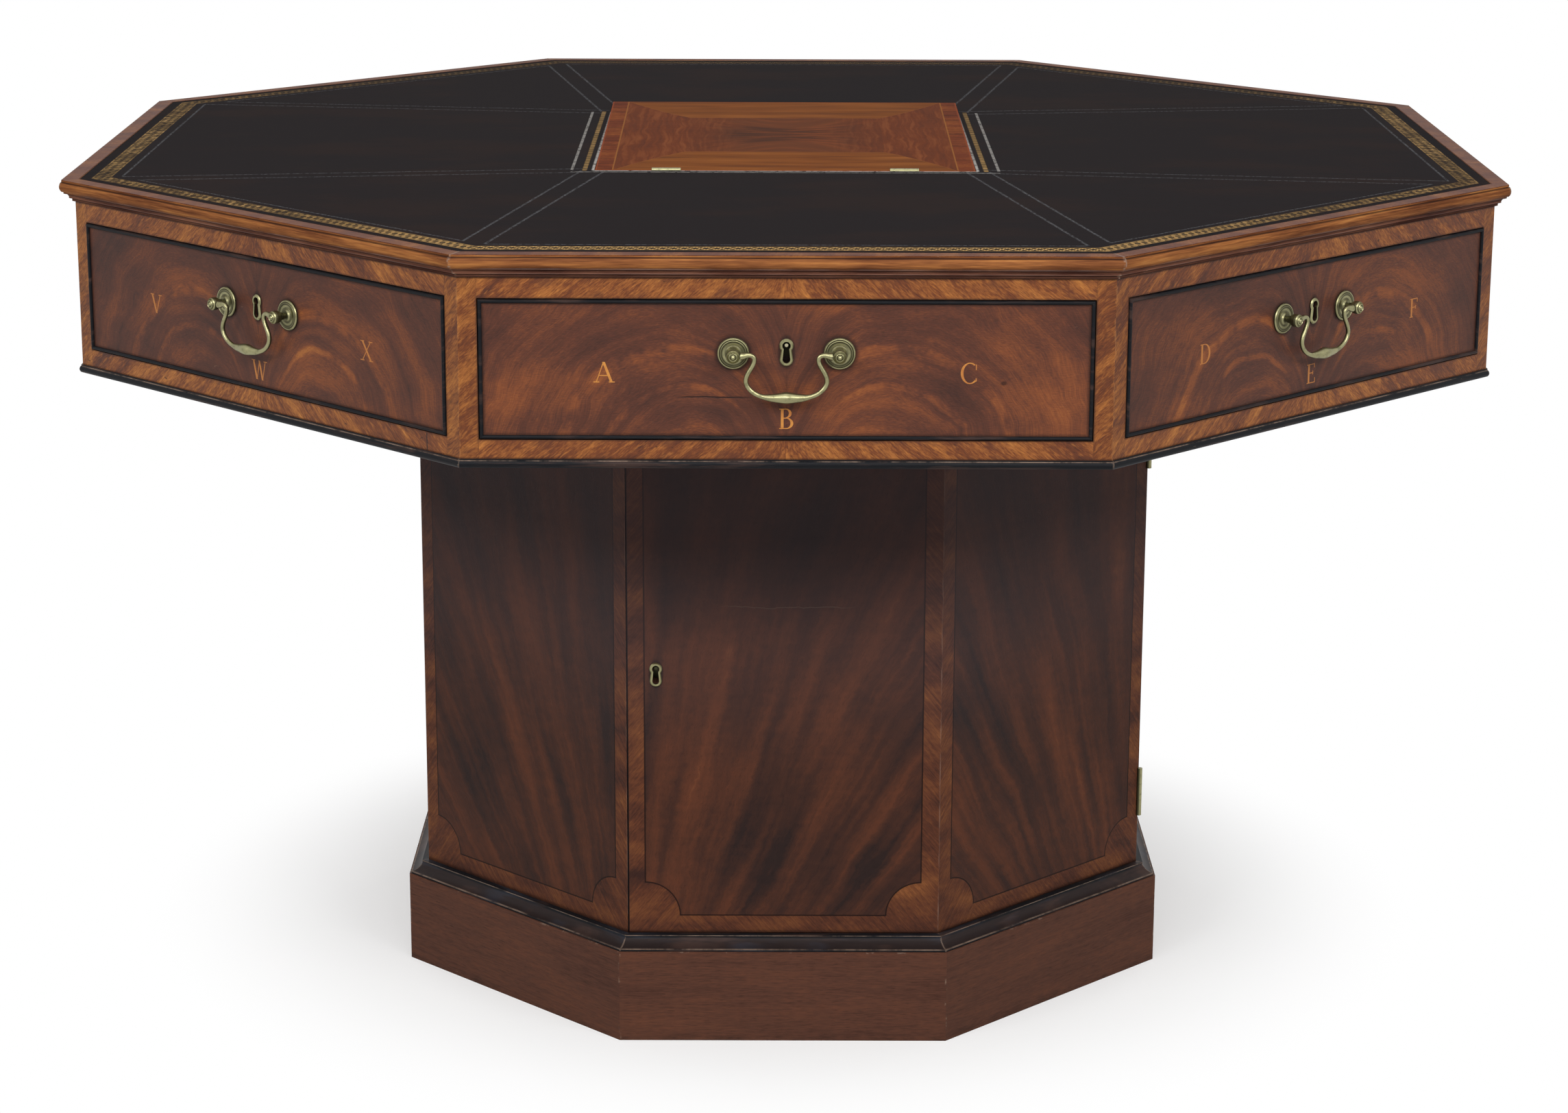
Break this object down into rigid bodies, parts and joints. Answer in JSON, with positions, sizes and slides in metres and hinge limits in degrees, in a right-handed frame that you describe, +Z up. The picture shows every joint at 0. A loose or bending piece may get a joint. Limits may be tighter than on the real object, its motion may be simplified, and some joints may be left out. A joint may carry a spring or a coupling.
{
  "type": "rent table",
  "caption": "Octagonal table whose leather-topped drum of wedge-shaped drawers turns on a cupboard pedestal, with a lidded well in the middle of the top.",
  "frame": {"origin": "on the floor at the middle of the plinth, under the axis that the drum turns on", "axes": "+Z up, -Y out of the front face, which has the cupboard's keyhole below it, +X to the right of someone who looks at that face"},
  "size_m": [1.29, 1.29, 0.7802],
  "materials": {
    "mahogany": "polished figured veneer",
    "crossbanding": "polished crossbanded veneer",
    "ebonised_wood": "black stain and polish, rubbed at the edges",
    "oak": "plain, waxed",
    "leather": "black hide with gilt tooling",
    "brass": "old lacquered brass",
    "iron": "wrought, waxed"
  },
  "bodies": {
    "pedestal": {"plinth_boards": "mahogany", "plinth_moulding": "ebonised_wood", "pedestal_carcase": "mahogany", "cupboard_boards": "oak", "spindle": "iron", "door_hinge_fixed": "brass"},
    "door": {"cupboard_door": "mahogany", "door_brass": "brass"},
    "door_bolt": {"door_bolt": "iron"},
    "drum": {"drum_bottom": "oak", "bead_moulding": "ebonised_wood", "drum_rails": "crossbanding", "drum_partitions": "oak", "top_boards": "oak", "edge_moulding": "crossbanding", "leather_panels": "leather", "well_box": "oak", "lid_hinge_fixed": "brass"},
    "lid": {"well_lid": "mahogany", "lid_hinge_moving": "brass"},
    "drawer_1": {"drawer_1": "mahogany", "drawer_1_cockbead": "ebonised_wood", "drawer_1_brass": "brass"},
    "drawer_1_bail": {"drawer_1_bail": "brass"},
    "drawer_1_bolt": {"drawer_1_bolt": "iron"},
    "drawer_2": {"drawer_2": "mahogany", "drawer_2_cockbead": "ebonised_wood", "drawer_2_brass": "brass"},
    "drawer_2_bail": {"drawer_2_bail": "brass"},
    "drawer_2_bolt": {"drawer_2_bolt": "iron"},
    "drawer_3": {"drawer_3": "mahogany", "drawer_3_cockbead": "ebonised_wood", "drawer_3_brass": "brass"},
    "drawer_3_bail": {"drawer_3_bail": "brass"},
    "drawer_3_bolt": {"drawer_3_bolt": "iron"},
    "drawer_4": {"drawer_4": "mahogany", "drawer_4_cockbead": "ebonised_wood", "drawer_4_brass": "brass"},
    "drawer_4_bail": {"drawer_4_bail": "brass"},
    "drawer_4_bolt": {"drawer_4_bolt": "iron"},
    "drawer_5": {"drawer_5": "mahogany", "drawer_5_cockbead": "ebonised_wood", "drawer_5_brass": "brass"},
    "drawer_5_bail": {"drawer_5_bail": "brass"},
    "drawer_5_bolt": {"drawer_5_bolt": "iron"},
    "drawer_6": {"drawer_6": "mahogany", "drawer_6_cockbead": "ebonised_wood", "drawer_6_brass": "brass"},
    "drawer_6_bail": {"drawer_6_bail": "brass"},
    "drawer_6_bolt": {"drawer_6_bolt": "iron"},
    "drawer_7": {"drawer_7": "mahogany", "drawer_7_cockbead": "ebonised_wood", "drawer_7_brass": "brass"},
    "drawer_7_bail": {"drawer_7_bail": "brass"},
    "drawer_7_bolt": {"drawer_7_bolt": "iron"},
    "drawer_8": {"drawer_8": "mahogany", "drawer_8_cockbead": "ebonised_wood", "drawer_8_brass": "brass"},
    "drawer_8_bail": {"drawer_8_bail": "brass"},
    "drawer_8_bolt": {"drawer_8_bolt": "iron"}
  },
  "joints": [
    {"name": "drum_turn", "type": "hinge", "parent": "pedestal", "child": "drum", "pos_m": [0, 0, 0.604], "axis": [0, 0, 1], "continuous": true},
    {"name": "door_hinge", "type": "hinge", "parent": "pedestal", "child": "door", "pos_m": [0.33992, -0.1408, 0.3375], "axis": [0, 0, 1], "range_deg": [0, 105]},
    {"name": "door_bolt_slide", "type": "slide", "parent": "door", "child": "door_bolt", "axis": [-1, 0, 0], "range_m": [0, 0.013]},
    {"name": "lid_hinge", "type": "hinge", "parent": "drum", "child": "lid", "pos_m": [0, -0.1944, 0.7703], "axis": [1, 0, 0], "range_deg": [-1.5, 100]},
    {"name": "drawer_1_slide", "type": "slide", "parent": "drum", "child": "drawer_1", "axis": [0, -1, 0], "range_m": [0, 0.24]},
    {"name": "drawer_1_bail_swing", "type": "hinge", "parent": "drawer_1", "child": "drawer_1_bail", "pos_m": [0, -0.6385, 0.69], "axis": [-1, 0, 0], "range_deg": [-10, 165]},
    {"name": "drawer_1_bolt_slide", "type": "slide", "parent": "drawer_1", "child": "drawer_1_bolt", "axis": [0, 0, 1], "range_m": [0, 0.006]},
    {"name": "drawer_2_slide", "type": "slide", "parent": "drum", "child": "drawer_2", "axis": [0.7071, -0.7071, 0], "range_m": [0, 0.24]},
    {"name": "drawer_2_bail_swing", "type": "hinge", "parent": "drawer_2", "child": "drawer_2_bail", "pos_m": [0.45149, -0.45149, 0.69], "axis": [-0.7071, -0.7071, 0], "range_deg": [-10, 165]},
    {"name": "drawer_2_bolt_slide", "type": "slide", "parent": "drawer_2", "child": "drawer_2_bolt", "axis": [0, 0, 1], "range_m": [0, 0.006]},
    {"name": "drawer_3_slide", "type": "slide", "parent": "drum", "child": "drawer_3", "axis": [1, 0, 0], "range_m": [0, 0.24]},
    {"name": "drawer_3_bail_swing", "type": "hinge", "parent": "drawer_3", "child": "drawer_3_bail", "pos_m": [0.6385, 0, 0.69], "axis": [0, -1, 0], "range_deg": [-10, 165]},
    {"name": "drawer_3_bolt_slide", "type": "slide", "parent": "drawer_3", "child": "drawer_3_bolt", "axis": [0, 0, 1], "range_m": [0, 0.006]},
    {"name": "drawer_4_slide", "type": "slide", "parent": "drum", "child": "drawer_4", "axis": [0.7071, 0.7071, 0], "range_m": [0, 0.24]},
    {"name": "drawer_4_bail_swing", "type": "hinge", "parent": "drawer_4", "child": "drawer_4_bail", "pos_m": [0.45149, 0.45149, 0.69], "axis": [0.7071, -0.7071, 0], "range_deg": [-10, 165]},
    {"name": "drawer_4_bolt_slide", "type": "slide", "parent": "drawer_4", "child": "drawer_4_bolt", "axis": [0, 0, 1], "range_m": [0, 0.006]},
    {"name": "drawer_5_slide", "type": "slide", "parent": "drum", "child": "drawer_5", "axis": [0, 1, 0], "range_m": [0, 0.24]},
    {"name": "drawer_5_bail_swing", "type": "hinge", "parent": "drawer_5", "child": "drawer_5_bail", "pos_m": [0, 0.6385, 0.69], "axis": [1, 0, 0], "range_deg": [-10, 165]},
    {"name": "drawer_5_bolt_slide", "type": "slide", "parent": "drawer_5", "child": "drawer_5_bolt", "axis": [0, 0, 1], "range_m": [0, 0.006]},
    {"name": "drawer_6_slide", "type": "slide", "parent": "drum", "child": "drawer_6", "axis": [-0.7071, 0.7071, 0], "range_m": [0, 0.24]},
    {"name": "drawer_6_bail_swing", "type": "hinge", "parent": "drawer_6", "child": "drawer_6_bail", "pos_m": [-0.45149, 0.45149, 0.69], "axis": [0.7071, 0.7071, 0], "range_deg": [-10, 165]},
    {"name": "drawer_6_bolt_slide", "type": "slide", "parent": "drawer_6", "child": "drawer_6_bolt", "axis": [0, 0, 1], "range_m": [0, 0.006]},
    {"name": "drawer_7_slide", "type": "slide", "parent": "drum", "child": "drawer_7", "axis": [-1, 0, 0], "range_m": [0, 0.24]},
    {"name": "drawer_7_bail_swing", "type": "hinge", "parent": "drawer_7", "child": "drawer_7_bail", "pos_m": [-0.6385, 0, 0.69], "axis": [0, 1, 0], "range_deg": [-10, 165]},
    {"name": "drawer_7_bolt_slide", "type": "slide", "parent": "drawer_7", "child": "drawer_7_bolt", "axis": [0, 0, 1], "range_m": [0, 0.006]},
    {"name": "drawer_8_slide", "type": "slide", "parent": "drum", "child": "drawer_8", "axis": [-0.7071, -0.7071, 0], "range_m": [0, 0.24]},
    {"name": "drawer_8_bail_swing", "type": "hinge", "parent": "drawer_8", "child": "drawer_8_bail", "pos_m": [-0.45149, -0.45149, 0.69], "axis": [-0.7071, 0.7071, 0], "range_deg": [-10, 165]},
    {"name": "drawer_8_bolt_slide", "type": "slide", "parent": "drawer_8", "child": "drawer_8_bolt", "axis": [0, 0, 1], "range_m": [0, 0.006]}
  ]
}
